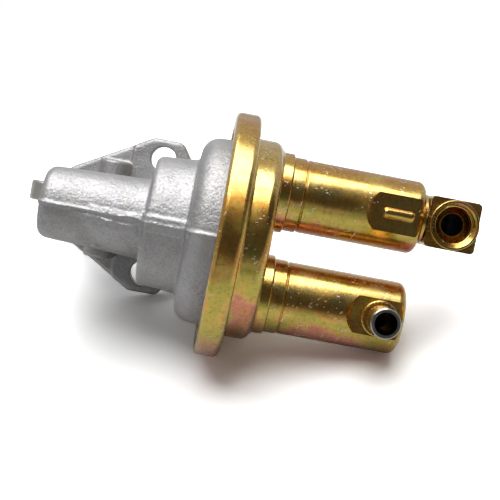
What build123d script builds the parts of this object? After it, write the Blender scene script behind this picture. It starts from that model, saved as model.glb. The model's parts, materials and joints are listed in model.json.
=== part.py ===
from build123d import *
import os
from math import cos, pi, sin

# A mechanical diaphragm fuel lift pump, in millimetres.
# The origin is the middle of the mounting face, between the two bolt holes.
# +X runs along the pump's axis from the nose to the towers, +Y points out of the
# mounting face into the engine, and +Z runs from the lower bolt hole to the upper one.

# Where the pump's axis and the two towers lie
axis_depth = 45.0
tower_offset = 17.8

# Clearances
press_clearance = 0.02
seat_clearance = 0.05
running_clearance = 0.05
plate_clearance = 0.025

# How far a cut or a union reaches past the face that it goes through
cut_past = 1.0

# Edge round of small turned and pressed pieces
small_round = 0.3

# Die-cast body, stations along X and radii about the pump's axis
nose_end_x = -36.7
nose_end_radius = 12.2
nose_root_radius = 13.9
nose_corner = 3.5
neck_start_x = -0.7
neck_end_x = 13.6
neck_end_radius = 23.4
neck_draft = 1.2
neck_corner = 2.5
shoulder_draft = 0.5
bell_step = 8.5
bell_corner_share = 0.74
bell_draft = 0.5
bell_root_round = 0.9
casting_ledge = 8.6
nose_root_round = 1.0
casting_edge_round = 0.6

# Chamber for the rocker arm, bore for its return spring, and spring chamber
arm_slot_half_width = 7.5
arm_slot_start_x = -29.0
arm_slot_end_x = -4.0
arm_slot_floor = 7.0
housing_side_wall = 3.0
housing_end_x = 9.0
housing_corner = 2.5
arm_slot_corner = 1.5
return_bore_radius = 8.2
return_bore_end_x = -33.5
neck_wall = 3.8
spring_chamber_floor_x = 4.0
chamber_floor_round = 1.0
bell_floor_x = 17.8
bell_floor_round = 3.0
bell_wall = 3.7
bell_mouth_wall = 0.9
seal_pocket_radius = 8.0
seal_pocket_depth = 3.0
vent_radius = 1.5
vent_x = 8.8
vent_angle = 45.0

# Mounting flange
bolt_spacing = 43.5
bolt_hole_radius = 4.75
flange_thickness = 5.5
ear_pad_thickness = 8.0
ear_pad_start_x = -11.5
flange_left_x = -38.0
flange_left_half = 8.0
flange_knee_x = -33.0
flange_knee_half = 13.0
ear_left_x = -4.6
ear_reach = 7.45
ear_right_x = 6.2
ear_slope_x = 10.0
ear_slope_drop = 5.2
flange_right_x = 20.5
flange_right_half = 9.0
flange_corner = 3.5
flange_edge_round = 1.4

# Parting line of the two dies, on the side away from the engine
flash_width = 0.7
flash_height = 0.5
neck_strip_width = 4.8
neck_strip_height = 0.4
nose_band_low = -5.5
nose_band_high = 1.5
nose_band_height = 0.35
nose_band_start_x = -20.0

# Pressed cover, rolled over the edge of the casting and the diaphragm
sheet = 1.5
sheet_edge_round = 0.5
rim_clearance = 0.2
rim_left_x = 23.1
rim_right_x = 31.7
rim_corner = 1.9
lip_gap = 4.1
dome_step = 2.6
dome_root_round = 0.9
dome_face_x = 40.9
dome_corner = 3.0
collar_thinning = 0.3
collar_end_x = 45.4
collar_root_round = 1.0

# Drawn steel towers
tower_radius = 12.6
tower_wall = 1.1
tower_base_x = 39.6
shoulder_height = 0.25
shoulder_end_x = 49.7
groove_width = 0.9
groove_depth = 0.5
shoulder_round = 0.2
tower_edge_round = 0.4
tower_end_x = 91.7
tower_end_corner = 2.7
pocket_start_x = 75.2
pocket_end_x = 90.1
pocket_half_width = 6.5
pocket_depth = 1.9
pocket_arc_sagitta = 2.4
pocket_slope = 32.0
rib_radius = 2.0
rib_height = 1.3
rib_end_round = 1.4
rib_start_x = 77.4
rib_end_x = 88.6

# Hose nipple on the lower tower's flat
nipple_x = 82.8
nipple_collar_radius = 6.3
nipple_collar_height = 2.9
nipple_collar_round = 0.7
nipple_teeth = 26
nipple_teeth_radius = 5.95
nipple_teeth_depth = 0.45
nipple_teeth_height = 1.1
nipple_tube_radius = 5.1
nipple_bore_radius = 3.75
nipple_length = 16.6
nipple_tail = 2.6
nipple_tip_chamfer = 0.35

# Square elbow on the upper tower's end
elbow_size = 17.5
elbow_corner = 1.5
elbow_back_chamfer = 0.5
elbow_ring_setback = 0.05
elbow_ring_width = 1.4
elbow_ring_round = 0.3
elbow_gap = 0.25
elbow_ring_wall = 2.4
elbow_spigot_reach = 3.4
elbow_bore_radius = 3.0
port_boss_setback = 0.25
port_boss_height = 2.8
port_boss_round = 0.35
port_rim_width = 0.8
port_mouth_chamfer = 1.1
port_relief_step = 0.3
port_relief_width = 3.6
port_depth = 8.2
seat_side_gap = 0.4
seat_base_height = 0.9
seat_taper = 2.35
seat_lip = 0.7
seat_height = 3.4
seat_tip_round = 0.2

# Rocker arm, its pin and its return spring
pivot_x = -17.0
lever_length = 26.0
pin_radius = 3.2
pin_half_length = 14.4
pin_boss_radius = 5.4
pin_boss_half_length = 18.0
pin_boss_round = 0.9
plug_radius = 3.7
plug_thickness = 2.2
pin_chamfer = 0.4
hub_radius = 7.6
lever_half_width = 6.9
lever_width = 8.0
lever_tip_x = -17.6
fork_half_gap = 2.8
fork_depth = 3.3
arm_half_width = 4.0
arm_width = 10.4
arm_edge_round = 0.8
arm_elbow_y = 6.0
arm_elbow_round = 16.0
arm_bend_x = -33.0
arm_bend_y = 30.0
arm_bend_round = 24.0
arm_tip_x = -48.0
arm_tip_y = 42.5
pad_radius = 7.0
pad_setback = 1.2
return_spring_mean_radius = 5.95
return_spring_wire = 1.4
return_spring_turns = 4.5

# Pull rod, diaphragm and its plates
rod_radius = 2.5
rod_neck_radius = 2.2
rod_head_radius = 4.6
rod_head_thickness = 2.2
rod_shoulder_radius = 3.8
rod_shoulder_width = 1.5
rivet_radius = 3.5
rivet_height = 1.3
rivet_round = 0.8
washer_radius = 5.2
washer_thickness = 1.2
diaphragm_thickness = 1.2
diaphragm_rest_lift = 1.6
diaphragm_edge_gap = 0.6
convolution_height = 1.5
sheet_bend_gap = 0.5
sheet_bend_round = 1.0
plate_thickness = 1.6
lower_plate_gap = 7.2
upper_plate_step = 1.5
plate_edge = 2.2
plate_edge_round = 1.5
main_spring_gap = 1.0
main_spring_wire = 2.4
main_spring_turns = 4.5

# Rod seal and the steel retainer that holds it and seats the main spring
seal_bore_step = 0.9
seal_lip_gap = 0.03
seal_lip_width = 0.5
retainer_gap = 2.2
retainer_thickness = 1.2
retainer_wall = 2.6
retainer_bore_radius = 3.4

# One check valve, the same in both towers
valve_plate_offset = 3.0
valve_plate_thickness = 1.4
valve_skirt_wall = 0.9
valve_skirt_depth = 2.4
valve_port_radius = 1.3
valve_port_circle = 5.2
valve_ports = 6
valve_post_radius = 1.4
valve_post_length = 5.2
valve_post_tip = 0.3
valve_disc_radius = 7.4
valve_disc_thickness = 1.2
valve_cap_radius = 3.2
valve_cap_thickness = 0.7
valve_spring_mean_radius = 2.35
valve_spring_wire = 0.5
valve_spring_turns = 3.5

# Sizes and stations that follow from the ones above
pump_axis_y = -axis_depth
ear_half_height = bolt_spacing / 2 + ear_reach
ear_slope_half = ear_half_height - ear_slope_drop
neck_start_radius = neck_end_radius - neck_draft
bell_radius = neck_end_radius + bell_step
bell_corner = bell_corner_share * bell_step
casting_rim_radius = bell_radius + casting_ledge
spring_chamber_radius = neck_end_radius - neck_wall
bell_bore_radius = bell_radius - bell_wall
bell_mouth_radius = bell_radius - bell_mouth_wall
rim_bore_radius = casting_rim_radius + rim_clearance
rim_radius = rim_bore_radius + sheet
lip_inner_radius = bell_radius + lip_gap
dome_radius = bell_radius + dome_step
collar_radius = tower_radius + sheet - collar_thinning
shoulder_radius = tower_radius + shoulder_height
cover_flange_x = rim_right_x - sheet
lip_x = rim_left_x + sheet
casting_rim_x = lip_x + seat_clearance
diaphragm_far_x = cover_flange_x - plate_clearance
diaphragm_near_x = diaphragm_far_x - diaphragm_thickness
casting_face_x = diaphragm_near_x - plate_clearance
dome_bore_radius = dome_radius - sheet
dome_inner_x = dome_face_x - sheet
tower_seated_radius = tower_radius - seat_clearance
tower_bore_radius = tower_radius - tower_wall
flat_depth = tower_radius - pocket_depth
pivot_y = pump_axis_y + lever_length
lever_tip_round = lever_width / 2
fork_face_x = lever_tip_x - lever_tip_round
rod_head_x = fork_face_x - seat_clearance
plates_x = diaphragm_near_x + diaphragm_rest_lift
lower_plate_x = plates_x - plate_clearance - plate_thickness
upper_plate_x = plates_x + diaphragm_thickness + plate_clearance
washer_x = upper_plate_x + plate_thickness + plate_clearance
rivet_x = washer_x + washer_thickness + plate_clearance
retainer_x = spring_chamber_floor_x + seat_clearance
retainer_radius = spring_chamber_radius - retainer_gap
main_spring_mean_radius = retainer_radius - retainer_thickness - main_spring_gap - main_spring_wire / 2
lower_plate_radius = bell_bore_radius - lower_plate_gap
upper_plate_radius = lower_plate_radius - upper_plate_step
seal_radius = seal_pocket_radius - seat_clearance
seal_lip_radius = rod_radius + seal_lip_gap
elbow_ring_radius = elbow_size / 2 - elbow_ring_setback
elbow_spigot_radius = elbow_ring_radius - elbow_ring_wall
elbow_ring_x = tower_end_x + seat_clearance
elbow_x = elbow_ring_x + elbow_ring_width + elbow_gap
elbow_port_x = elbow_x + elbow_size / 2
port_boss_radius = elbow_size / 2 - port_boss_setback
port_mouth_radius = port_boss_radius - port_rim_width
port_thread_radius = port_mouth_radius - port_mouth_chamfer
port_relief_radius = port_thread_radius + port_relief_step
seat_base_radius = port_relief_radius - seat_side_gap
seat_tip_radius = seat_base_radius - seat_taper
seat_bore_radius = seat_tip_radius - seat_lip
valve_plate_x = tower_base_x + valve_plate_offset


def profile(*corners):
    """A face in the XY plane from (x, radius, corner round) triples, in order."""
    points = [(x, radius) for x, radius, _ in corners]
    rounds = [corner for _, _, corner in corners]
    return make_face(FilletPolyline(*points, radius=rounds, close=True))


def turned(*corners):
    """A solid turned about the X axis from (x, radius, corner round) triples."""
    return revolve(profile(*corners), Axis.X)


def rod_along_x(start, end, radius):
    """A plain round bar on the X axis from one station to another."""
    return turned((start, 0, 0), (start, radius, 0), (end, radius, 0), (end, 0, 0))


def block(x_range, y_range, z_range):
    """A box between three pairs of limits."""
    size = [high - low for low, high in (x_range, y_range, z_range)]
    low = [limits[0] for limits in (x_range, y_range, z_range)]
    return Pos(*low) * Box(*size, align=(Align.MIN, Align.MIN, Align.MIN))


def bar_along_z(x, y, half_length, radius):
    """A round bar parallel to Z, centred on the pump's middle plane."""
    return Pos(x, y, 0) * Cylinder(radius, 2 * half_length)


def coil(start, end, mean_radius, wire, turns):
    """A coil spring on the X axis whose wire just reaches the two stations."""
    height = end - start - wire
    centre = (start + wire / 2, 0, 0)
    path = Helix(height / turns, height, mean_radius, center=centre, direction=(1, 0, 0))
    section = Plane(origin=path @ 0, z_dir=path % 0) * Circle(wire / 2)
    return sweep(section, path, is_frenet=True)


def on_axis(shape):
    """Move a shape made on the X axis to the pump's axis."""
    return Pos(0, pump_axis_y, 0) * shape


def on_tower(shape, side):
    """Move a shape made on the X axis to the upper (+1) or lower (-1) tower's axis."""
    return Pos(0, pump_axis_y, side * tower_offset) * shape


def facing_out(shape, x, side):
    """Turn a shape made along +X from zero to point away from the engine, at a tower's axis."""
    return Pos(x, pump_axis_y, side * tower_offset) * Rot(0, 0, -90) * shape


def casting_outline(grow=0.0):
    """The outer form of nose, neck and bell, as a face in the XY plane above the X axis."""
    return profile(
        (nose_end_x - grow, 0, 0),
        (nose_end_x - grow, nose_end_radius + grow, nose_corner),
        (neck_start_x - grow, nose_root_radius + grow, nose_root_round),
        (neck_start_x - grow, neck_start_radius + grow, neck_corner),
        (neck_end_x - grow, neck_end_radius + grow, bell_root_round),
        (neck_end_x + shoulder_draft - grow, bell_radius + grow, bell_corner),
        (casting_rim_x, bell_radius + bell_draft + grow, 0),
        (casting_rim_x, 0, 0),
    )


def flange_outline():
    """Half of the kite-shaped flange's outline for z above 0, then its mirror image."""
    upper = [
        (flange_left_x, flange_left_half),
        (flange_knee_x, flange_knee_half),
        (ear_left_x, ear_half_height),
        (ear_right_x, ear_half_height),
        (ear_slope_x, ear_slope_half),
        (flange_right_x, flange_right_half),
    ]
    lower = [(x, -z) for x, z in reversed(upper)]
    rounds = [flange_corner] * (len(upper) + len(lower))
    return make_face(FilletPolyline(*upper, *lower, radius=rounds, close=True))


def flange_plate(start_x, thickness):
    """The flange from a station on, its outer edge rounded, lying on the mounting face."""
    plate = Rot(90, 0, 0) * extrude(flange_outline(), thickness)
    outer_edges = plate.faces().sort_by(Axis.Y)[0].edges()
    plate = fillet(outer_edges, flange_edge_round)
    reach = 2 * ear_half_height
    keep = block((start_x, reach), (-thickness, 0), (-reach, reach))
    return plate & keep


def parting_flash():
    """The raised line left by the dies, the neck's strip and the nose's rough band."""
    outline = Rot(180, 0, 0) * casting_outline(flash_height)
    line = extrude(outline, flash_width / 2, both=True)
    strip_outline = Rot(180, 0, 0) * casting_outline(neck_strip_height)
    strip = extrude(strip_outline, neck_strip_width / 2, both=True)
    wide = (-neck_strip_width, neck_strip_width)
    strip = strip & block((neck_start_x - flash_width, neck_end_x), (-bell_radius, 0), wide)
    band_outline = Rot(180, 0, 0) * casting_outline(nose_band_height)
    band = extrude(band_outline, 2 * nose_root_radius, both=True)
    band_height = (nose_band_low, nose_band_high)
    band_keep = block((nose_band_start_x, neck_start_x), (-2 * nose_root_radius, 0), band_height)
    band_round = turned(
        (nose_end_x, 0, 0),
        (nose_end_x, nose_end_radius + nose_band_height, 0),
        (neck_start_x, nose_root_radius + nose_band_height, 0),
        (neck_start_x, 0, 0),
    )
    return line + strip + (band & band_keep & band_round)


def casting_hollows():
    """Everything cored or bored out of the casting, in place."""
    bell = turned(
        (spring_chamber_floor_x, 0, 0),
        (spring_chamber_floor_x, spring_chamber_radius, chamber_floor_round),
        (bell_floor_x, spring_chamber_radius, chamber_floor_round),
        (bell_floor_x, bell_bore_radius, bell_floor_round),
        (casting_face_x, bell_mouth_radius, 0),
        (casting_face_x + cut_past, bell_mouth_radius, 0),
        (casting_face_x + cut_past, 0, 0),
    )
    pocket_floor_x = spring_chamber_floor_x - seal_pocket_depth
    seal_pocket = rod_along_x(pocket_floor_x, spring_chamber_floor_x + cut_past, seal_pocket_radius)
    rod_bore_radius = rod_radius + 2 * running_clearance
    rod_bore = rod_along_x(arm_slot_end_x - cut_past, spring_chamber_floor_x, rod_bore_radius)
    return_bore = rod_along_x(return_bore_end_x, arm_slot_start_x + cut_past, return_bore_radius)
    slot = block(
        (arm_slot_start_x, arm_slot_end_x),
        (pump_axis_y - arm_slot_floor, cut_past),
        (-arm_slot_half_width, arm_slot_half_width),
    )
    slot = fillet(slot.edges().filter_by(Axis.Y), arm_slot_corner)
    vent = Pos(0, 0, -neck_end_radius) * Cylinder(vent_radius, 2 * neck_wall + vent_radius)
    vent = Pos(vent_x, pump_axis_y, 0) * Rot(vent_angle, 0, 0) * vent
    pin_bore = bar_along_z(pivot_x, pivot_y, pin_boss_half_length + cut_past, pin_radius + press_clearance)
    plug_bores = [
        Pos(pivot_x, pivot_y, side * (pin_half_length + seat_clearance + pin_boss_half_length))
        * Cylinder(plug_radius + press_clearance, 2 * pin_boss_half_length)
        for side in (1, -1)
    ]
    turned_hollows = [on_axis(shape) for shape in (bell, seal_pocket, rod_bore, return_bore)]
    bolt_holes = [
        Pos(0, -ear_pad_thickness / 2, side * bolt_spacing / 2)
        * Rot(90, 0, 0)
        * Cylinder(bolt_hole_radius, 2 * ear_pad_thickness)
        for side in (1, -1)
    ]
    return [*turned_hollows, slot, vent, pin_bore, *plug_bores, *bolt_holes]


def clear_of_flange(edge):
    """Whether an edge's middle lies beyond the thickest part of the flange."""
    return edge.center().Y < -ear_pad_thickness


def body_casting():
    """The die-cast body: nose, neck, bell, arm housing and mounting flange in one piece."""
    body = on_axis(revolve(casting_outline(), Axis.X))
    rim = turned(
        (casting_rim_x, 0, 0),
        (casting_rim_x, casting_rim_radius, casting_edge_round),
        (casting_face_x, casting_rim_radius, casting_edge_round),
        (casting_face_x, 0, 0),
    )
    housing_half = arm_slot_half_width + housing_side_wall
    housing = block(
        (arm_slot_start_x - housing_side_wall, housing_end_x),
        (pump_axis_y, -flange_thickness / 2),
        (-housing_half, housing_half),
    )
    housing = fillet(housing.edges().filter_by(Axis.Y), housing_corner)
    boss = bar_along_z(pivot_x, pivot_y, pin_boss_half_length, pin_boss_radius)
    boss_web = block(
        (pivot_x - pin_boss_radius, pivot_x + pin_boss_radius),
        (pivot_y, -flange_thickness / 2),
        (-pin_boss_half_length, pin_boss_half_length),
    )
    boss = boss + boss_web
    ends = boss.faces().filter_by(Plane.XY)
    free_edges = [edge for face in ends for edge in face.edges().filter_by(clear_of_flange)]
    boss = fillet(free_edges, pin_boss_round)
    flange = flange_plate(flange_left_x - cut_past, flange_thickness)
    pads = flange_plate(ear_pad_start_x, ear_pad_thickness)
    body = body + on_axis(rim) + housing + boss + flange + pads + on_axis(parting_flash())
    for hollow in casting_hollows():
        body = body - hollow
    return body


def cover():
    """The pressed cover: rolled rim, dome and the two drawn collars for the towers."""
    shell = turned(
        (dome_face_x, 0, 0),
        (dome_face_x, dome_radius, dome_corner),
        (rim_right_x, dome_radius, dome_root_round),
        (rim_right_x, rim_radius, rim_corner),
        (rim_left_x, rim_radius, rim_corner),
        (rim_left_x, lip_inner_radius, sheet_edge_round),
        (lip_x, lip_inner_radius, sheet_edge_round),
        (lip_x, rim_bore_radius, sheet_edge_round),
        (cover_flange_x, rim_bore_radius, sheet_edge_round),
        (cover_flange_x, dome_bore_radius, dome_root_round),
        (dome_inner_x, dome_bore_radius, dome_corner - sheet),
        (dome_inner_x, 0, 0),
    )
    shell = on_axis(shell)
    for side in (1, -1):
        collar = turned(
            (dome_inner_x, 0, 0),
            (dome_inner_x, collar_radius, 0),
            (collar_end_x, collar_radius, sheet_edge_round),
            (collar_end_x, 0, 0),
        )
        root = turned(
            (dome_inner_x, 0, 0),
            (dome_inner_x, collar_radius + collar_root_round, 0),
            (dome_face_x, collar_radius + collar_root_round, 0),
            (dome_face_x + collar_root_round, collar_radius, 0),
            (dome_face_x + collar_root_round, 0, 0),
        )
        shell = shell + on_tower(collar + root, side)
    for side in (1, -1):
        bore = rod_along_x(dome_inner_x - cut_past, collar_end_x + cut_past, tower_radius)
        shell = shell - on_tower(bore, side)
    return shell


def pocket_tool(grow):
    """What presses the flat into a tower's side, grown inwards by a wall for the bore."""
    low = pocket_start_x - grow
    high = pocket_end_x + grow
    half = pocket_half_width + grow
    sides = [
        Line((low, -half), (high, -half)),
        Line((high, -half), (high, half)),
        Line((high, half), (low, half)),
        SagittaArc((low, half), (low, -half), -pocket_arc_sagitta),
    ]
    flat = make_face(Wire(sides))
    flat = Pos(0, 0, flat_depth - grow) * flat
    tool = extrude(flat, pocket_depth + grow + cut_past, taper=-pocket_slope)
    return Rot(90, 0, 0) * tool


def tower(side):
    """One drawn steel tower with its shoulder, rolled groove and pressed flat."""
    outer = turned(
        (tower_base_x, 0, 0),
        (tower_base_x, tower_seated_radius, tower_edge_round),
        (collar_end_x + seat_clearance, tower_seated_radius, 0),
        (collar_end_x + seat_clearance, shoulder_radius, shoulder_round),
        (shoulder_end_x, shoulder_radius, shoulder_round),
        (shoulder_end_x + groove_width / 2, tower_radius - groove_depth, shoulder_round),
        (shoulder_end_x + groove_width, tower_radius, tower_edge_round),
        (tower_end_x, tower_radius, tower_end_corner),
        (tower_end_x, 0, 0),
    )
    inner = turned(
        (tower_base_x - cut_past, 0, 0),
        (tower_base_x - cut_past, tower_bore_radius, 0),
        (tower_end_x - tower_wall, tower_bore_radius, tower_end_corner - tower_wall),
        (tower_end_x - tower_wall, 0, 0),
    )
    outer = outer - pocket_tool(0)
    inner = inner - pocket_tool(tower_wall)
    can = outer - inner
    if side > 0:
        rib = Pos(0, -(flat_depth - rib_radius + rib_height), 0) * turned(
            (rib_start_x, 0, 0),
            (rib_start_x, rib_radius, rib_end_round),
            (rib_end_x, rib_radius, rib_end_round),
            (rib_end_x, 0, 0),
        )
        can = can + rib
        spigot_hole_radius = elbow_spigot_radius + seat_clearance
        can = can - rod_along_x(tower_end_x - 2 * tower_wall, tower_end_x + cut_past, spigot_hole_radius)
    placed = on_tower(can, side)
    if side < 0:
        hole = rod_along_x(0, tower_radius, nipple_tube_radius + press_clearance)
        placed = placed - facing_out(hole, nipple_x, side)
    return placed


def inlet_nipple():
    """The hose nipple: a collar on the flat, a toothed ring and the plain tube."""
    collar_start = flat_depth + press_clearance
    collar_end = collar_start + nipple_collar_height
    teeth_end = collar_end + nipple_teeth_height
    tip = flat_depth + nipple_length
    body = rod_along_x(flat_depth - nipple_tail, tip, nipple_tube_radius)
    body = chamfer(body.edges().sort_by(Axis.X)[-1], nipple_tip_chamfer)
    collar = turned(
        (collar_start, 0, 0),
        (collar_start, nipple_collar_radius, 0),
        (collar_end, nipple_collar_radius, nipple_collar_round),
        (collar_end, 0, 0),
    )
    outline = []
    for tooth in range(nipple_teeth):
        for half, radius in enumerate((nipple_teeth_radius, nipple_teeth_radius - nipple_teeth_depth)):
            angle = 2 * pi * (tooth + half / 2) / nipple_teeth
            outline.append((radius * cos(angle), radius * sin(angle)))
    ring_start = collar_end - nipple_collar_round
    ring = extrude(make_face(Polyline(*outline, close=True)), teeth_end - ring_start)
    ring = Pos(ring_start, 0, 0) * Rot(0, 90, 0) * ring
    bore = rod_along_x(0, tip + cut_past, nipple_bore_radius)
    return facing_out(body + collar + ring - bore, nipple_x, -1)


def elbow_ring():
    """The thin ring between the upper tower's end and the elbow."""
    ring = turned(
        (elbow_ring_x, elbow_spigot_radius + seat_clearance, 0),
        (elbow_ring_x, elbow_ring_radius, elbow_ring_round),
        (elbow_ring_x + elbow_ring_width, elbow_ring_radius, elbow_ring_round),
        (elbow_ring_x + elbow_ring_width, elbow_spigot_radius + seat_clearance, 0),
    )
    return on_tower(ring, 1)


def outlet_elbow():
    """The square elbow: spigot into the tower, block, round boss and inverted-flare port."""
    half = elbow_size / 2
    body = block((elbow_x, elbow_x + elbow_size), (-half, half), (-half, half))
    body = fillet(body.edges().filter_by(Axis.Y), elbow_corner)
    body = chamfer(body.faces().sort_by(Axis.Y)[-1].edges(), elbow_back_chamfer)
    spigot_start_x = tower_end_x - elbow_spigot_reach
    spigot = rod_along_x(spigot_start_x, elbow_x + cut_past, elbow_spigot_radius)
    passage = rod_along_x(spigot_start_x - cut_past, elbow_port_x, elbow_bore_radius)
    body = on_tower(body + spigot, 1)
    face = half + port_boss_height
    boss = turned(
        (0, 0, 0),
        (0, port_boss_radius, 0),
        (face, port_boss_radius, port_boss_round),
        (face, 0, 0),
    )
    port = turned(
        (face - port_depth, 0, 0),
        (face - port_depth, port_relief_radius, 0),
        (face - port_depth + port_relief_width, port_relief_radius, 0),
        (face - port_depth + port_relief_width, port_thread_radius, 0),
        (face - port_mouth_chamfer, port_thread_radius, 0),
        (face, port_mouth_radius, 0),
        (face + cut_past, port_mouth_radius, 0),
        (face + cut_past, 0, 0),
    )
    drop = rod_along_x(0, face, elbow_bore_radius)
    body = body + facing_out(boss, elbow_port_x, 1)
    body = body - facing_out(port + drop, elbow_port_x, 1)
    return body - on_tower(passage, 1)


def elbow_seat():
    """The pressed-in cone that the flared pipe seals on."""
    floor = elbow_size / 2 + port_boss_height - port_depth + seat_clearance
    cone = turned(
        (floor, seat_bore_radius, 0),
        (floor, seat_base_radius, 0),
        (floor + seat_base_height, seat_base_radius, 0),
        (floor + seat_height, seat_tip_radius, seat_tip_round),
        (floor + seat_height, seat_bore_radius, 0),
    )
    return facing_out(cone, elbow_port_x, 1)


def diaphragm():
    """The fabric-reinforced rubber diaphragm, clamped at its edge and lifted at rest."""
    near = diaphragm_near_x
    far = diaphragm_far_x
    lift = diaphragm_rest_lift
    crest = lift + convolution_height
    flat = lower_plate_radius + sheet_bend_gap
    clamp = bell_mouth_radius - sheet_bend_gap
    top = (flat + clamp) / 2
    bore = rod_neck_radius + seat_clearance
    edge = rim_bore_radius - diaphragm_edge_gap
    sheet_ring = turned(
        (near + lift, bore, 0),
        (near + lift, flat, sheet_bend_round),
        (near + crest, top, 2 * sheet_bend_round),
        (near, clamp, sheet_bend_round),
        (near, edge, 0),
        (far, edge, 0),
        (far, clamp, sheet_bend_round),
        (far + crest, top, 2 * sheet_bend_round),
        (far + lift, flat, sheet_bend_round),
        (far + lift, bore, 0),
    )
    return on_axis(sheet_ring)


def diaphragm_plate(x, direction, radius):
    """A pressed plate against the diaphragm, its edge turned away from it."""
    back = x if direction < 0 else x + plate_thickness
    front = x + plate_thickness if direction < 0 else x
    bore = rod_neck_radius + seat_clearance
    edge = back + direction * plate_edge
    plate = turned(
        (front, bore, 0),
        (front, radius, plate_edge_round),
        (edge, radius, small_round),
        (edge, radius - plate_thickness, small_round),
        (back, radius - plate_thickness, small_round),
        (back, bore, 0),
    )
    return on_axis(plate)


def pull_rod():
    """The pull rod: upset head behind the fork, shoulder under the plates, riveted end."""
    shoulder_end = lower_plate_x - plate_clearance
    rod = turned(
        (rod_head_x - rod_head_thickness, 0, 0),
        (rod_head_x - rod_head_thickness, rod_head_radius, small_round),
        (rod_head_x, rod_head_radius, small_round),
        (rod_head_x, rod_radius, small_round),
        (shoulder_end - rod_shoulder_width, rod_radius, small_round),
        (shoulder_end - rod_shoulder_width, rod_shoulder_radius, small_round),
        (shoulder_end, rod_shoulder_radius, 0),
        (shoulder_end, rod_neck_radius, 0),
        (rivet_x, rod_neck_radius, 0),
        (rivet_x, rivet_radius, small_round),
        (rivet_x + rivet_height, rivet_radius, rivet_round),
        (rivet_x + rivet_height, 0, 0),
    )
    return on_axis(rod)


def rod_washer():
    """The sealing washer under the rod's riveted end."""
    bore = rod_neck_radius + seat_clearance
    ring = turned(
        (washer_x, bore, 0),
        (washer_x, washer_radius, small_round),
        (washer_x + washer_thickness, washer_radius, small_round),
        (washer_x + washer_thickness, bore, 0),
    )
    return on_axis(ring)


def rod_seal():
    """The rubber seal that keeps engine oil out of the spring chamber."""
    back = spring_chamber_floor_x - seal_pocket_depth + seat_clearance
    front = spring_chamber_floor_x - seat_clearance
    lip = (back + front) / 2
    ring = turned(
        (back, rod_radius + seal_bore_step, 0),
        (back, seal_radius, small_round),
        (front, seal_radius, small_round),
        (front, rod_radius + seal_bore_step, 0),
        (lip + seal_lip_width / 2, seal_lip_radius, 0),
        (lip - seal_lip_width / 2, seal_lip_radius, 0),
    )
    return on_axis(ring)


def seal_retainer():
    """The pressed steel dish that holds the seal and seats the main spring."""
    dish = turned(
        (retainer_x, retainer_bore_radius, 0),
        (retainer_x, retainer_radius, retainer_thickness),
        (retainer_x + retainer_wall, retainer_radius, small_round),
        (retainer_x + retainer_wall, retainer_radius - retainer_thickness, small_round),
        (retainer_x + retainer_thickness, retainer_radius - retainer_thickness, small_round),
        (retainer_x + retainer_thickness, retainer_bore_radius, 0),
    )
    return on_axis(dish)


def diaphragm_spring():
    """The main spring that pushes the diaphragm towards the cover."""
    start = retainer_x + retainer_thickness + seat_clearance
    end = lower_plate_x - seat_clearance
    return on_axis(coil(start, end, main_spring_mean_radius, main_spring_wire, main_spring_turns))


def rocker_arm():
    """The rocker arm: forked inner lever, hub and the long bent arm with its cam pad."""
    lever_line = Line((pivot_x, pivot_y), (lever_tip_x, pump_axis_y))
    lever_outline = make_face(offset(lever_line, lever_tip_round, side=Side.BOTH))
    lever = extrude(lever_outline, lever_half_width, both=True)
    hub = Pos(pivot_x, pivot_y, 0) * Cylinder(hub_radius, 2 * lever_half_width)
    arm_line = FilletPolyline(
        (pivot_x, pivot_y),
        (pivot_x, arm_elbow_y),
        (arm_bend_x, arm_bend_y),
        (arm_tip_x, arm_tip_y),
        radius=[arm_elbow_round, arm_bend_round],
    )
    arm = extrude(make_face(offset(arm_line, arm_width / 2, side=Side.BOTH)), arm_half_width, both=True)
    pad = Pos(arm_tip_x + pad_setback, arm_tip_y, 0) * Cylinder(pad_radius, 2 * arm_half_width)
    gap = block(
        (lever_tip_x - lever_width, lever_tip_x + lever_width),
        (pump_axis_y - lever_width, pump_axis_y + fork_depth),
        (-fork_half_gap, fork_half_gap),
    )
    bore = bar_along_z(pivot_x, pivot_y, lever_width, pin_radius + running_clearance)
    arm = arm + pad
    arm = fillet(arm.edges().group_by(Axis.Z)[-1] + arm.edges().group_by(Axis.Z)[0], arm_edge_round)
    return arm + lever + hub - gap - bore


def rocker_pin():
    """The fixed pin that the rocker arm turns on."""
    pin = bar_along_z(pivot_x, pivot_y, pin_half_length, pin_radius)
    return chamfer(pin.edges().filter_by(GeomType.CIRCLE), pin_chamfer)


def pin_plugs():
    """The two plugs driven into the bosses at the pin's ends."""
    plugs = []
    for side in (1, -1):
        middle = side * (pin_half_length + 2 * seat_clearance + plug_thickness / 2)
        plug = Pos(pivot_x, pivot_y, middle) * Cylinder(plug_radius, plug_thickness)
        plugs.append(plug)
    return Compound(plugs)


def rocker_return_spring():
    """The spring in the nose that keeps the arm's pad on its cam."""
    start = return_bore_end_x + seat_clearance
    end = fork_face_x - seat_clearance
    return on_axis(coil(start, end, return_spring_mean_radius, return_spring_wire, return_spring_turns))


def valve_seat():
    """The valve plate with its skirt, ports and post, opening towards +X from zero."""
    radius = tower_bore_radius - seat_clearance
    body = turned(
        (0, 0, 0),
        (0, radius, small_round),
        (-valve_skirt_depth - valve_plate_thickness, radius, 0),
        (-valve_skirt_depth - valve_plate_thickness, radius - valve_skirt_wall, 0),
        (-valve_plate_thickness, radius - valve_skirt_wall, small_round),
        (-valve_plate_thickness, 0, 0),
    )
    post = rod_along_x(-valve_plate_thickness, valve_post_length, valve_post_radius)
    body = body + post
    for port in range(valve_ports):
        angle = 2 * pi * port / valve_ports
        hole = rod_along_x(-valve_plate_thickness - cut_past, cut_past, valve_port_radius)
        body = body - Pos(0, valve_port_circle * cos(angle), valve_port_circle * sin(angle)) * hole
    return body


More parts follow.
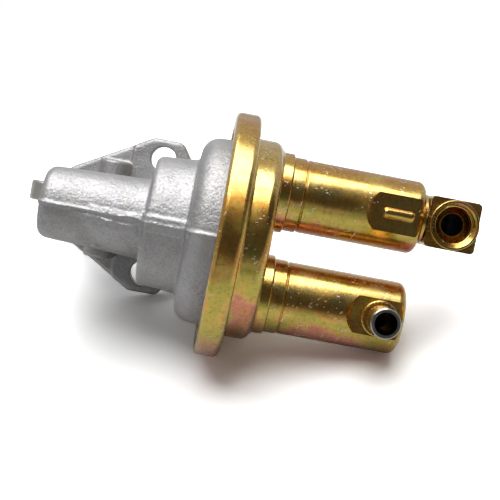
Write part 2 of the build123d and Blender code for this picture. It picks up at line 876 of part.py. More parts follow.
def valve_disc():
    """The rubber disc that lifts off the ports along the post."""
    start = seat_clearance
    end = start + valve_disc_thickness
    bore = valve_post_radius + running_clearance
    return turned(
        (start, bore, 0),
        (start, valve_disc_radius, 0),
        (end, valve_disc_radius, small_round),
        (end, bore, 0),
    )


def valve_cap():
    """The cap snapped on the post's end, which backs the spring."""
    end = valve_post_length - valve_post_tip
    start = end - valve_cap_thickness
    bore = valve_post_radius + press_clearance
    return turned(
        (start, bore, 0),
        (start, valve_cap_radius, small_round),
        (end, valve_cap_radius, small_round),
        (end, bore, 0),
    )


def valve_spring():
    """The light spring between the disc and the cap."""
    start = 2 * seat_clearance + valve_disc_thickness
    end = valve_post_length - valve_post_tip - valve_cap_thickness - seat_clearance
    return coil(start, end, valve_spring_mean_radius, valve_spring_wire, valve_spring_turns)


def place_valve(shape, side):
    """Put a valve piece in its tower: the upper opens outwards, the lower into the pump."""
    if side > 0:
        return on_tower(Pos(valve_plate_x + valve_plate_thickness, 0, 0) * shape, side)
    return on_tower(Pos(valve_plate_x, 0, 0) * Rot(0, 180, 0) * shape, side)


pieces = {
    "body_casting": body_casting(),
    "cover": cover(),
    "outlet_tower": tower(1),
    "inlet_tower": tower(-1),
    "inlet_nipple": inlet_nipple(),
    "elbow_ring": elbow_ring(),
    "outlet_elbow": outlet_elbow(),
    "elbow_seat": elbow_seat(),
    "diaphragm": diaphragm(),
    "lower_plate": diaphragm_plate(lower_plate_x, -1, lower_plate_radius),
    "upper_plate": diaphragm_plate(upper_plate_x, 1, upper_plate_radius),
    "pull_rod": pull_rod(),
    "rod_washer": rod_washer(),
    "rod_seal": rod_seal(),
    "seal_retainer": seal_retainer(),
    "diaphragm_spring": diaphragm_spring(),
    "rocker_arm": rocker_arm(),
    "rocker_pin": rocker_pin(),
    "pin_plugs": pin_plugs(),
    "rocker_return_spring": rocker_return_spring(),
}
for name, side in (("inlet", -1), ("outlet", 1)):
    pieces[f"{name}_valve_seat"] = place_valve(valve_seat(), side)
    pieces[f"{name}_valve_disc"] = place_valve(valve_disc(), side)
    pieces[f"{name}_valve_spring"] = place_valve(valve_spring(), side)
    pieces[f"{name}_valve_cap"] = place_valve(valve_cap(), side)

os.makedirs("parts", exist_ok=True)
for node, piece in pieces.items():
    export_step(piece, f"parts/{node}.step")
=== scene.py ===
"""A diaphragm fuel lift pump on a studio table: its finishes, thread, cast flash, and copies of its springs
and diaphragm.
"""

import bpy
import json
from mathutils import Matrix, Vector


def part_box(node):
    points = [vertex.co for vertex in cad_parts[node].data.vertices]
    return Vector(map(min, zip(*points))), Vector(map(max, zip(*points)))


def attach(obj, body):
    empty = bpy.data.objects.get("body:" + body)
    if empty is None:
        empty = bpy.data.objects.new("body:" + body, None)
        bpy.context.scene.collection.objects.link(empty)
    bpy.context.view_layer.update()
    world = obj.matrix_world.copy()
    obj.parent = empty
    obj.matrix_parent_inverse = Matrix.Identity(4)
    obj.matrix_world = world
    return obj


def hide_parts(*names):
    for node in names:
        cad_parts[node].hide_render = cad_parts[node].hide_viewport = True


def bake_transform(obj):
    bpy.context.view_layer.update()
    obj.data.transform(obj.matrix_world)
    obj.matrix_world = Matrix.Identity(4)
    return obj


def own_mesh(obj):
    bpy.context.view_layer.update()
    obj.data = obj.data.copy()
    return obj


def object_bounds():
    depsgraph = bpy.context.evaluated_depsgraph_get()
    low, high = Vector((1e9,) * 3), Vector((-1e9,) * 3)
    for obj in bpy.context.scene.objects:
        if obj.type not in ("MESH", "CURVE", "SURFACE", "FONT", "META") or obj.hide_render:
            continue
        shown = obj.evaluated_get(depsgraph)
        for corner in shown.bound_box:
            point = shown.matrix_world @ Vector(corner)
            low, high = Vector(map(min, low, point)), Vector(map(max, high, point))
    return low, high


bl_info = {
    "name": "Fuel lift pump",
    "version": (1, 0, 0),
    "blender": (4, 5, 0),
    "location": "3D View > Sidebar > Pump",
    "description": "Finishes, small pieces and studio for a diaphragm fuel lift pump",
    "category": "Object",
}

import json
from math import cos, exp, hypot, pi, radians, sin

import bmesh
import bpy
from bpy.props import FloatProperty, FloatVectorProperty, IntProperty, PointerProperty
from mathutils import Matrix, Vector, noise

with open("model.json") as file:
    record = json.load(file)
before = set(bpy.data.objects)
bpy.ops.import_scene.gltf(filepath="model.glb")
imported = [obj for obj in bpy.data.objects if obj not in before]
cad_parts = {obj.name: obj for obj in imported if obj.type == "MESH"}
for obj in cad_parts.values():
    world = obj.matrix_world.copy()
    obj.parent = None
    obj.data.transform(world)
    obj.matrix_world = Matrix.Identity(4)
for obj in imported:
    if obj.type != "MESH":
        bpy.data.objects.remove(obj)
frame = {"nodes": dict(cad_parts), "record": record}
CAD_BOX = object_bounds()

# Which nodes share a finish
PLATED_NODES = ("cover", "outlet_tower", "inlet_tower", "inlet_nipple", "elbow_ring", "outlet_elbow")
BRASS_NODES = ("inlet_valve_seat", "outlet_valve_seat")
SHEET_NODES = (
    "lower_plate",
    "upper_plate",
    "rod_washer",
    "seal_retainer",
    "pin_plugs",
    "inlet_valve_cap",
    "outlet_valve_cap",
)
GROUND_NODES = ("pull_rod", "rocker_pin")
SPRING_NODES = ("diaphragm_spring", "rocker_return_spring", "inlet_valve_spring", "outlet_valve_spring")
RUBBER_NODES = ("rod_seal", "inlet_valve_disc", "outlet_valve_disc")

# The pump's axis, the rim's radius and the nose's end in the frame, in metres
PUMP_AXIS_Y = (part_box("cover")[0].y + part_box("cover")[1].y) / 2
RIM_RADIUS = (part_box("cover")[1].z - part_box("cover")[0].z) / 2
NOSE_END_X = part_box("body_casting")[0].x

# The cover's dome along the pump's axis: where its thicker film comes in and where it goes, in metres
DOME_START = (0.031, 0.034)
DOME_END = (0.048, 0.043)

# The film's thickness on a flat side, and what the dome, blotches and streaks add to it; on undersides a
# painted reflection adds to it and turns them rose
FILM_MEAN = 0.44
# Painted reflection on undersides
PAINTED_UNDERSIDE_REFLECTION = 0.42
FILM_ON_DOME = 0.14
FILM_BLOTCHES = 0.75
FILM_STREAKS = 0.30

# Scratches: the level of the cells that a dash keeps, the size of their patches and how softly a patch ends
DASH_EDGE = (0.16, 0.10)
PATCH_SIZE = 0.009
PATCH_EDGE = 0.06

# The nipple's sawn end: its tube's edge and how far it goes up the tube, in metres
TUBE_EDGE = (0.0055, 0.0053)
CUT_END = (0.0006, 0.0003)

# The fuel passages, in metres: the radius within which painted shade makes them black, their soft edges and
# how far past the axis they go
PASSAGES = {"inlet_nipple": 0.0039, "elbow_seat": 0.0042}
SEAT_BORE_RADIUS = 0.0040
BORE_EDGE = 0.0002
PASSAGE_END_Y = PUMP_AXIS_Y + 0.0070
PASSAGE_EDGE = 0.0001
# Painted shade: the near black of the passages' walls
PAINTED_BORE_SHADE_COLOUR = (0.012, 0.009, 0.007)

# Clean and stained colours of the inner parts
ARM_COLOURS = ((0.52, 0.50, 0.47), (0.30, 0.27, 0.24))
GROUND_COLOURS = ((0.66, 0.65, 0.64), (0.46, 0.44, 0.42))
WIRE_COLOURS = ((0.44, 0.42, 0.40), (0.24, 0.20, 0.17))
SHEET_COLOURS = ((0.68, 0.66, 0.62), (0.48, 0.44, 0.36))
BRASS_COLOURS = ((0.62, 0.42, 0.12), (0.36, 0.20, 0.06))
NITRILE_COLOURS = ((0.020, 0.020, 0.021), (0.05, 0.05, 0.05))
DIAPHRAGM_COLOURS = ((0.030, 0.026, 0.022), (0.07, 0.06, 0.05))

# The parting line: how far it wanders, and the lengths of its waves, in metres
WANDER = 0.0003
WANDER_LENGTH = 0.0035
RAGGED_LENGTH = 0.0014

# The second ridge below it: where it runs from the nose's end, its drop, its waves and the groove beside it
SECOND_RIDGE = (0.0123, 0.0340)
SECOND_DROP = 0.0014
SECOND_RAGGED_LENGTH = 0.0019
GROOVE_BELOW = 0.0008
GROOVE_SHARE = 0.5

# The crumbs below the parting line: where they rise, stay and end, down and along the casting
CRUMBS_DOWN = (0.0012, 0.0022, 0.0042, 0.0062)
CRUMBS_ALONG = (0.011, 0.014, 0.024, 0.029)
CRUMB_LENGTH = 0.0011

# The blob on the parting line: its place from the nose's end, its height and half its size along and across
BLOB_ALONG = 0.0325
BLOB_Z = 0.0006
BLOB_HEIGHT = 0.0005
BLOB_SIZE = (0.0019, 0.0008)

# The two pits under the nose: their places from its end and half their size along and across
PITS_ALONG = (0.0205, 0.0240)
PIT_Z = -0.0118
PIT_SIZE = (0.0011, 0.0004)

# Where the casting is machined or hollow and its skin stays even, in metres
INNER_RADIUS = 0.0105
SLOT_HALF_WIDTH = 0.0085
FACE_DEPTH = 0.0003

# Each spring's joint, how far it is pressed and the end of it that stays, -1 for the one towards the nose
JOINTS = frame["record"]["behaviour"]["joints"]
TRAVELS = {joint["name"]: joint["range_m"][1] for joint in JOINTS if "range_m" in joint}
STROKE = TRAVELS["diaphragm_stroke"]
SPRINGS = {
    "diaphragm_spring": ("diaphragm_stroke", STROKE, -1),
    "rocker_return_spring": ("rocker_pivot", STROKE, -1),
    "inlet_valve_spring": ("inlet_valve_lift", TRAVELS["inlet_valve_lift"], -1),
    "outlet_valve_spring": ("outlet_valve_lift", TRAVELS["outlet_valve_lift"], 1),
}

# How many sectors the diaphragm is cut into
SECTORS = 12

# The thread's section: its foot in the wall, then each corner's share of the height and place in pitches
THREAD_ROOT = 0.0002
THREAD_FOOT = 0.48
THREAD_CREST = ((0.3, -0.30), (1.0, -0.06), (1.0, 0.06), (0.3, 0.30))

# How high the thread starts, and the turns in which it rises to its full height
THREAD_START_SHARE = 0.15
THREAD_RUN_IN = 0.25

# Where the photograph was taken from, in metres and degrees
CAMERA_PLACE = (0.01547, -0.44132, 0.01706)
CAMERA_YAW = 3.0
CAMERA_PITCH = 3.0
CAMERA_ROLL = 10.8
SENSOR_WIDTH = 36.0

# The way up from the table that the pump rests on, and the sheet's gap below the lowest point
TABLE_UP = (-0.235, -0.503, 0.832)
FLOOR_GAP = 0.0002

# Each lamp's place from the pump's foot: up from the table, away from the camera and to the right, in metres
KEY_OFFSETS = (0.62, 0.04, -0.03)
FILL_OFFSETS = (0.34, -0.25, -0.50)

# Where the room's white wall and its lit table edge come in, as sines of the angles away and up
WALL_EDGE = (-0.15, 0.5)
TABLE_EDGE = (0.24, 0.04)
WHITE = (1.0, 1.0, 1.0)


def colour_property(name, description, default):
    """A colour that a user may change."""
    return FloatVectorProperty(
        name=name, description=description, default=default, size=3, min=0.0, max=1.0, subtype="COLOR"
    )


def length_property(name, description, default):
    """A length that a user may change, in metres."""
    return FloatProperty(
        name=name, description=description, default=default, min=0.0, unit="LENGTH", precision=5
    )


def share_property(name, description, default):
    """A share from zero to one that a user may change."""
    return FloatProperty(
        name=name, description=description, default=default, min=0.0, max=1.0, subtype="FACTOR"
    )


def power_property(name, description, default):
    """A lamp's power that a user may change, in watts."""
    return FloatProperty(name=name, description=description, default=default, min=0.0, unit="POWER")


class Level:
    """A value that varies over a surface: one output socket, and the sums that can be made with it."""

    def __init__(self, surface, socket):
        self.surface = surface
        self.socket = socket

    def _sum(self, operation, *terms):
        inputs = dict(enumerate(terms))
        return self.surface.node("ShaderNodeMath", {"operation": operation}, inputs)

    def __add__(self, other):
        return self._sum("ADD", self, other)

    __radd__ = __add__

    def __sub__(self, other):
        return self._sum("SUBTRACT", self, other)

    def __rsub__(self, other):
        return self._sum("SUBTRACT", other, self)

    def __mul__(self, other):
        return self._sum("MULTIPLY", self, other)

    __rmul__ = __mul__

    def larger(self, other):
        """The larger of two values."""
        return self._sum("MAXIMUM", self, other)

    def between(self, low, high):
        """A smooth step: zero at low and before it, one at high and past it."""
        settings = {"interpolation_type": "SMOOTHSTEP"}
        return self.surface.node("ShaderNodeMapRange", settings, {0: self, 1: low, 2: high})


class Surface:
    """The node tree of one material or world, and the few ways to add to it."""

    def __init__(self, tree):
        self.tree = tree
        tree.nodes.clear()

    def node(self, kind, settings=None, inputs=None, output=0):
        """Add one node, its settings first and then its inputs by name or number, and give one output."""
        made = self.tree.nodes.new(kind)
        for name, value in (settings or {}).items():
            if name == "stops":
                self._set_stops(made.color_ramp, value)
            else:
                setattr(made, name, value)
        for name, value in (inputs or {}).items():
            socket = made.inputs[name]
            if isinstance(value, Level):
                self.tree.links.new(value.socket, socket)
            elif hasattr(socket.default_value, "__len__") and len(socket.default_value) == 4:
                socket.default_value = (*value, 1.0)
            else:
                socket.default_value = value
        return Level(self, made.outputs[output]) if len(made.outputs) else None

    @staticmethod
    def _set_stops(ramp, stops):
        while len(ramp.elements) > 1:
            ramp.elements.remove(ramp.elements[-1])
        for index, (place, colour) in enumerate(stops):
            stop = ramp.elements[0] if index == 0 else ramp.elements.new(place)
            stop.position = place
            stop.color = (*colour, 1.0)

    def place(self, output="Object"):
        """Where a point is on the resting part, in metres, or its normal there."""
        return self.node("ShaderNodeTexCoord", None, None, output)

    def stretched(self, vector, scale):
        """The same places with each axis scaled, so that a pattern runs along one of them."""
        return self.node("ShaderNodeVectorMath", {"operation": "MULTIPLY"}, {0: vector, 1: scale})

    def part(self, vector, axis):
        """One axis of a vector."""
        return self.node("ShaderNodeSeparateXYZ", None, {0: vector}, axis)

    def along(self, vector, direction):
        """How far a vector points in a direction."""
        settings = {"operation": "DOT_PRODUCT"}
        return self.node("ShaderNodeVectorMath", settings, {0: vector, 1: direction}, "Value")

    def from_axis(self, vector, point):
        """How far a place is from a line through a point along Y, in metres."""
        offset = self.node("ShaderNodeVectorMath", {"operation": "SUBTRACT"}, {0: vector, 1: point})
        flat = self.stretched(offset, (1.0, 0.0, 1.0))
        return self.node("ShaderNodeVectorMath", {"operation": "LENGTH"}, {0: flat}, "Value")

    def cloud(self, vector, size, detail=2.0, roughness=0.5):
        """A soft random pattern with lumps of about one size, in metres."""
        inputs = {"Vector": vector, "Scale": 1.0 / size, "Detail": detail, "Roughness": roughness}
        return self.node("ShaderNodeTexNoise", None, inputs)

    def cells(self, vector, size):
        """A random pattern of cells of about one size, dark in their middles."""
        return self.node("ShaderNodeTexVoronoi", None, {"Vector": vector, "Scale": 1.0 / size})

    def mix(self, share, first, second):
        """One colour going over to another."""
        return self.node("ShaderNodeMix", {"data_type": "RGBA"}, {0: share, 6: first, 7: second}, 2)

    def ramp(self, value, *stops):
        """A colour for each level of a value."""
        return self.node("ShaderNodeValToRGB", {"stops": stops}, {0: value})

    def bump(self, height, depth, normal=None):
        """Relief of a depth in metres from a value between zero and one."""
        inputs = {"Height": height, "Distance": depth, "Strength": 1.0}
        if normal is not None:
            inputs["Normal"] = normal
        return self.node("ShaderNodeBump", None, inputs)


def new_surface(name):
    """A new material and the tree of nodes to fill."""
    material = bpy.data.materials.new(name)
    material.use_nodes = True
    return material, Surface(material.node_tree)


def shade(surface, **inputs):
    """Close a material with the shader that it ends in."""
    named = {name.replace("_", " "): value for name, value in inputs.items()}
    shader = surface.node("ShaderNodeBsdfPrincipled", None, named)
    surface.node("ShaderNodeOutputMaterial", None, {"Surface": shader})


def scratches(surface, place, length, spacing, turn, share):
    """Fine straight scratches in patches: a mask that is one on them."""
    settings = {"rotation_type": "EULER_XYZ"}
    turned = surface.node("ShaderNodeVectorRotate", settings, {"Vector": place, "Rotation": turn})
    drawn_out = surface.stretched(turned, (1.0 / length, 1.0 / spacing, 1.0 / spacing))
    dashes = surface.cells(drawn_out, size=1.0).between(*DASH_EDGE)
    patches = surface.cloud(place, PATCH_SIZE)
    return dashes * patches.between(1.0 - share, 1.0 + PATCH_EDGE - share)


def middle(node):
    """The middle of a CAD node's box."""
    low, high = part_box(node)
    return (low + high) / 2


def inside_bore(surface, node, radius):
    """A mask that is one inside a node's bore, which runs along Y."""
    return surface.from_axis(surface.place(), tuple(middle(node))).between(radius, radius - BORE_EDGE)


def film_thickness(surface, place, blotches, streaks):
    """How thick the passivated film is: more on the dome and uneven everywhere, and more on undersides as a
    painted reflection that turns them rose.
    """
    # Painted reflection: the more a face turns to the table below, the thicker and rosier its film
    painted_underside = 0.0 - surface.part(surface.place("Normal"), "Z")
    along = surface.part(place, "X")
    on_dome = along.between(*DOME_START) * along.between(*DOME_END)
    even = painted_underside * PAINTED_UNDERSIDE_REFLECTION + FILM_MEAN + on_dome * FILM_ON_DOME
    return even + (blotches - 0.5) * FILM_BLOTCHES + (streaks - 0.5) * FILM_STREAKS


def film_colour(surface, film, look):
    """The film's colour at each thickness, which comes and goes as in a soap bubble."""
    return surface.ramp(
        film,
        (0.0, look.amber),
        (0.14, look.gold),
        (0.26, look.pale),
        (0.36, look.gold),
        (0.45, look.amber),
        (0.54, look.gold),
        (0.64, look.olive),
        (0.74, look.gold),
        (0.84, look.rose),
        (1.0, look.amber),
    )


def wear_marks(surface, place):
    """Where the film is scratched through: long marks, cross marks and nicks."""
    long_marks = scratches(surface, place, length=0.030, spacing=0.0014, turn=(0.2, 0.1, 0.35), share=0.52)
    cross_marks = scratches(surface, place, length=0.020, spacing=0.0016, turn=(0.4, 0.9, 1.2), share=0.50)
    nicks = scratches(surface, place, length=0.006, spacing=0.0022, turn=(1.1, 0.3, 0.8), share=0.46)
    return long_marks.larger(cross_marks).larger(nicks)


def plated_zinc(look):
    """Yellow passivated zinc on steel: gold that turns rose, olive and amber with the film's thickness, with
    a painted reflection on undersides and painted shade in the fuel passages.
    """
    material, surface = new_surface("yellow_zinc_plating")
    place = surface.place()
    across_axis = surface.part(place, "Y")
    blotches = surface.cloud(place, size=0.016)
    streaks = surface.cloud(surface.stretched(place, (0.35, 1.0, 1.0)), size=0.0020, detail=3.0)
    colour = film_colour(surface, film_thickness(surface, place, blotches, streaks), look)
    flattened = surface.stretched(place, (1.0, 1.0, 0.6))
    mottle = surface.cloud(flattened, size=0.0011, detail=4.0, roughness=0.75)
    colour = surface.mix(mottle.between(0.46, 0.70) * 0.55, colour, look.stain)
    spots = surface.cloud(place, size=0.0013, detail=4.0, roughness=0.7).between(0.60, 0.68)
    colour = surface.mix(spots * 0.6, colour, look.stain)
    marks = wear_marks(surface, place)
    colour = surface.mix(marks * 0.75, colour, look.bare)
    nipple_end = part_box("inlet_nipple")[0].y
    tube = surface.from_axis(place, tuple(middle("inlet_nipple"))).between(*TUBE_EDGE)
    cut_end = tube * across_axis.between(nipple_end + CUT_END[0], nipple_end + CUT_END[1])
    colour = surface.mix(cut_end, colour, look.cut)
    # Painted shade: the walls of the fuel passages are painted near black
    near_side = across_axis.between(PASSAGE_END_Y, PASSAGE_END_Y - PASSAGE_EDGE)
    for node, radius in PASSAGES.items():
        colour = surface.mix(inside_bore(surface, node, radius) * near_side, colour, look.painted_bore_shade)
    roughness = 0.17 + blotches.between(0.4, 0.7) * 0.12 + streaks * 0.06 + marks * 0.25
    relief = surface.bump(surface.cloud(place, size=0.006, detail=1.0), look.dent_depth)
    relief = surface.bump(streaks - marks * 0.4 + spots * 0.2, look.grain_depth, relief)
    shade(
        surface,
        Base_Color=colour,
        Metallic=1.0,
        Roughness=roughness,
        Normal=relief,
        Coat_Weight=0.6,
        Coat_Roughness=0.08,
    )
    return material


def cast_aluminium(look):
    """Die-cast aluminium: bright and speckled with dark pores, duller in wide patches, and with painted
    shade that darkens the undersides.
    """
    material, surface = new_surface("cast_aluminium_skin")
    place = surface.place()
    facing = surface.place("Normal")
    grain = surface.cloud(place, size=0.0008, detail=3.0, roughness=0.75)
    crumbs = surface.cells(place, size=0.0009)
    wide = surface.cloud(place, size=0.013)
    # Painted shade: undersides are mixed towards the dull colour, together with wide patches and grain
    painted_underside = 0.0 - surface.part(facing, "Z")
    weathering_and_underside_shade = painted_underside.between(-0.3, 0.9) * 0.3 + wide.between(0.35, 0.7) * 0.3 + (grain - 0.5) * 1.1
    colour = surface.mix(weathering_and_underside_shade.between(-0.2, 1.1), look.bright, look.dull_and_shaded)
    flecks = surface.cloud(place, size=0.0016).between(0.5, 0.66)
    colour = surface.mix(flecks * 0.35, colour, look.warm)
    pores = grain.between(0.38, 0.30)
    colour = surface.mix(pores * 0.6, colour, look.pore)
    machined = surface.part(facing, "Y").between(0.995, 0.999)
    colour = surface.mix(machined * 0.6, colour, look.bright)
    roughness = 0.54 + (grain - 0.5) * 0.5 - machined * 0.1
    relief = surface.bump(surface.cloud(place, size=0.0030), look.wave_depth)
    relief = surface.bump(grain * 0.8 + crumbs * 0.4, look.grain_depth, relief)
    shade(surface, Base_Color=colour, Metallic=1.0, Roughness=roughness, Normal=relief)
    return material


def dull_metal(name, colours, roughness, grain, depth, along=(1.0, 1.0, 1.0), bore=None):
    """Steel or brass with fine marks and darker stains, and painted shade, near black, inside a bore where
    one is given.
    """
    material, surface = new_surface(name)
    clean, stained = colours
    marks = surface.cloud(surface.stretched(surface.place(), along), grain, detail=3.0, roughness=0.6)
    stains = surface.cloud(surface.place(), size=0.005).between(0.45, 0.75)
    tone = surface.mix(stains * 0.6, clean, stained)
    # Painted shade: near black inside the bore
    if bore:
        node, radius = bore
        tone = surface.mix(inside_bore(surface, node, radius), tone, PAINTED_BORE_SHADE_COLOUR)
    rough = roughness + (marks - 0.5) * 0.18 + stains * 0.08
    shade(surface, Base_Color=tone, Metallic=1.0, Roughness=rough, Normal=surface.bump(marks, depth))
    return material


def moulded_rubber(name, colours, weave=0.0):
    """Black nitrile rubber, or the fabric-backed sheet of the diaphragm where weave is above zero."""
    material, surface = new_surface(name)
    clean, dusty = colours
    place = surface.place()
    grain = surface.cloud(place, size=0.0006, detail=3.0)
    dust = surface.cloud(place, size=0.006)
    tone = surface.mix(dust.between(0.4, 0.75) * 0.5, clean, dusty)
    height = grain
    if weave > 0:
        waves = {"Vector": place, "Scale": weave}
        threads = [surface.node("ShaderNodeTexWave", {"bands_direction": axis}, waves) for axis in "YZ"]
        height = threads[0].larger(threads[1]) * 0.8 + grain * 0.2
    relief = surface.bump(height, depth=0.00008)
    shade(surface, Base_Color=tone, Metallic=0.0, Roughness=0.55 + (grain - 0.5) * 0.2, Normal=relief)
    return material


def dress(material, *nodes):
    """Give CAD nodes a finish."""
    for name in nodes:
        for material_slot in frame["nodes"][name].material_slots:
            material_slot.material = material


def new_piece(name, mesh, material):
    """Put a new mesh in the scene as a piece that rides on the housing."""
    piece = bpy.data.objects.new(name, mesh)
    bpy.context.scene.collection.objects.link(piece)
    mesh.materials.append(material)
    for face in mesh.polygons:
        face.use_smooth = True
    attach(piece, "housing")


def swept_mesh(name, rings):
    """A closed skin over rings of points with equal counts, each joined to the next."""
    mesh = bmesh.new()
    rows = [[mesh.verts.new(point) for point in ring] for ring in rings]
    for first, second in zip(rows, rows[1:]):
        count = len(first)
        for index in range(count):
            following = (index + 1) % count
            mesh.faces.new((first[index], first[following], second[following], second[index]))
    mesh.faces.new(reversed(rows[0]))
    mesh.faces.new(rows[-1])
    bmesh.ops.recalc_face_normals(mesh, faces=mesh.faces)
    data = bpy.data.meshes.new(name)
    mesh.to_mesh(data)
    mesh.free()
    return data


class PlatingLook(bpy.types.PropertyGroup):
    """Colours and relief of the yellow zinc plating."""

    pale: colour_property("Pale gold", "Thinnest film", (0.66, 0.48, 0.16))
    gold: colour_property("Gold", "Thin film", (0.64, 0.41, 0.085))
    olive: colour_property("Olive", "Middling film", (0.46, 0.41, 0.06))
    amber: colour_property("Amber", "Thick film", (0.60, 0.29, 0.05))
    rose: colour_property("Rose", "Thickest film", (0.66, 0.23, 0.16))
    stain: colour_property("Stain", "Brown specks in the film", (0.24, 0.13, 0.05))
    bare: colour_property("Bare zinc", "Where the film is scratched through", (0.80, 0.77, 0.70))
    cut: colour_property("Cut steel", "The nipple's sawn end", (0.42, 0.41, 0.38))
    # Painted shade: the near black painted on the fuel passages' walls
    painted_bore_shade: colour_property("Soot", "Dark walls of the fuel passages", PAINTED_BORE_SHADE_COLOUR)
    dent_depth: length_property("Dent depth", "Slow waves of the drawn steel", 0.00004)
    grain_depth: length_property("Grain depth", "Fine draw marks and scratches", 0.000012)


class CastingLook(bpy.types.PropertyGroup):
    """Colours and relief of the die-cast skin."""

    bright: colour_property("Bright", "Clean cast skin", (0.47, 0.47, 0.48))
    # Also the painted shade on the casting's undersides
    dull_and_shaded: colour_property("Dull", "Weathered cast skin", (0.21, 0.20, 0.19))
    warm: colour_property("Warm", "Faintly brown flecks", (0.45, 0.40, 0.35))
    pore: colour_property("Pore", "Dark pores", (0.14, 0.13, 0.12))
    wave_depth: length_property("Wave depth", "Slow waves of the skin", 0.00012)
    grain_depth: length_property("Grain depth", "Fine cast grain", 0.00022)


class CastingSkin(bpy.types.PropertyGroup):
    """The uneven skin of the casting, its ragged parting line and its pits."""

    facet: length_property("Facet", "Size of the skin's facets", 0.0005)
    triangles: IntProperty(
        name="Triangles", description="Most triangles in the skin", default=190000, min=1000
    )
    wave_size: length_property("Wave size", "Distance between the slow waves", 0.007)
    wave_depth: length_property("Wave depth", "Height of the slow waves", 0.00012)
    lump_size: length_property("Lump size", "Distance between the small lumps", 0.0019)
    lump_depth: length_property("Lump depth", "Height of the small lumps", 0.00006)
    flash_width: length_property("Flash width", "Half width of a ridge of the parting line", 0.00042)
    flash_height: length_property("Flash height", "Height of a ridge of the parting line", 0.00042)
    crumb_height: length_property("Crumb height", "Height of the crumbs below the parting line", 0.00045)
    pit_depth: length_property("Pit depth", "Depth of the pits under the nose", 0.0006)


class ThreadSize(bpy.types.PropertyGroup):
    """The port's internal thread."""

    pitch: length_property("Pitch", "Rise of the thread in one turn", 0.00141)
    depth: length_property("Depth", "Height of a thread's ridge", 0.00062)
    radius: length_property("Radius", "Radius of the port's wall", 0.0066)
    start: length_property("Start", "Depth of the first turn below the boss", 0.0011)
    end: length_property("End", "Depth of the last turn below the boss", 0.0048)
    steps: IntProperty(name="Steps", description="Sections in one turn", default=72, min=12)


class StudioLight(bpy.types.PropertyGroup):
    """Table, lamps and backdrop."""

    floor_size: length_property("Floor", "Width of the table's sheet", 3.0)
    floor_fade: length_property("Floor fade", "How far from the pump the sheet turns plain white", 0.34)
    lamp_size: length_property("Lamp size", "Width of each lamp", 0.60)
    key_power: power_property("Key power", "Power of the lamp overhead", 5.2)
    fill_power: power_property("Fill power", "Power of the lamp on the left", 0.3)
    floor_seen: share_property("Floor white", "Half of how white the sheet looks to the eye", 0.72)
    floor_mirrored: share_property("Floor grey", "How white the sheet looks in reflections", 0.62)
    behind_light: share_property("Light behind", "Brightness of the white wall behind and above", 0.50)
    low_light: share_property("Low light", "Brightness of the sheet's far edge in front", 0.40)
    front_light: share_property("Light in front", "Brightness of the dark room in front", 0.075)
    lens: FloatProperty(
        name="Lens", description="Focal length on a 36 mm frame", default=82.8, min=1.0, unit="CAMERA"
    )


class PlateZincParts(bpy.types.Operator):
    """Plate the cover, towers, nipple, ring and elbow in yellow zinc"""

    bl_idname = "pump.plate_zinc_parts"
    bl_label = "Plate the zinc parts"

    def execute(self, context):
        dress(plated_zinc(context.scene.pump_plating), *PLATED_NODES)
        return {"FINISHED"}


class FinishCasting(bpy.types.Operator):
    """Give the die-cast body its speckled skin"""

    bl_idname = "pump.finish_casting"
    bl_label = "Finish the casting"

    def execute(self, context):
        dress(cast_aluminium(context.scene.pump_casting), "body_casting")
        return {"FINISHED"}


def hump(offset, width):
    """A rounded rise: one in its middle and next to nothing past twice its width."""
    return exp(-((offset / width) ** 2))


def ramp_up(value, low, high):
    """Zero below low, one above high and even between."""
    return min(1.0, max(0.0, (value - low) / (high - low)))


def plateau(value, edges):
    """One between the inner two edges, zero outside the outer two and even between."""
    return ramp_up(value, edges[0], edges[1]) * ramp_up(-value, -edges[3], -edges[2])


def lumps(place, size):
    """A smooth random height between minus one and one."""
    return noise.noise(place / size)


def raggedness(along, row, length, mean, swing):
    """How high a ridge stands at a place along it, as a share of its height: each row is another ridge."""
    return mean + swing * lumps(Vector((along, 0.0, row)), length)


def parting_relief(place, skin):
    """How far the ragged parting line stands out, on the side away from the engine."""
    along = place.x - NOSE_END_X
    wobble = WANDER * lumps(Vector((along, 0.0, 0.0)), WANDER_LENGTH)
    ragged = raggedness(along, row=0.004, length=RAGGED_LENGTH, mean=0.55, swing=0.75)
    rise = skin.flash_height * hump(place.z - wobble, skin.flash_width) * ragged
    if SECOND_RIDGE[0] < along < SECOND_RIDGE[1]:
        share = (along - SECOND_RIDGE[0]) / (SECOND_RIDGE[1] - SECOND_RIDGE[0])
        lower = place.z + SECOND_DROP * (1 + share) + wobble
        ragged = raggedness(along, row=0.009, length=SECOND_RAGGED_LENGTH, mean=0.6, swing=0.8)
        rise += skin.flash_height * hump(lower, skin.flash_width) * ragged * ramp_up(share, 0.0, 0.1)
        rise -= GROOVE_SHARE * skin.flash_height * hump(lower - GROOVE_BELOW, skin.flash_width)
    crumbs = plateau(-place.z, CRUMBS_DOWN) * plateau(along, CRUMBS_ALONG)
    rise += skin.crumb_height * crumbs * lumps(place, CRUMB_LENGTH)
    rise += BLOB_HEIGHT * hump(along - BLOB_ALONG, BLOB_SIZE[0]) * hump(place.z - BLOB_Z, BLOB_SIZE[1])
    return rise


def pit_relief(place, skin):
    """The two short pits under the nose."""
    depth = 0.0
    for along in PITS_ALONG:
        depth += hump(place.x - NOSE_END_X - along, PIT_SIZE[0]) * hump(place.z - PIT_Z, PIT_SIZE[1])
    return -skin.pit_depth * depth


def skin_relief(place, skin):
    """How far the casting's skin stands out at a place, in metres."""
    from_axis = hypot(place.y - PUMP_AXIS_Y, place.z)
    inside = from_axis < INNER_RADIUS or (abs(place.z) < SLOT_HALF_WIDTH and place.y > PUMP_AXIS_Y)
    if inside or place.y > -FACE_DEPTH:
        return 0.0
    relief = skin.wave_depth * lumps(place, skin.wave_size) + skin.lump_depth * lumps(place, skin.lump_size)
    if place.y < PUMP_AXIS_Y and from_axis < RIM_RADIUS:
        relief += parting_relief(place, skin) + pit_relief(place, skin)
    return relief


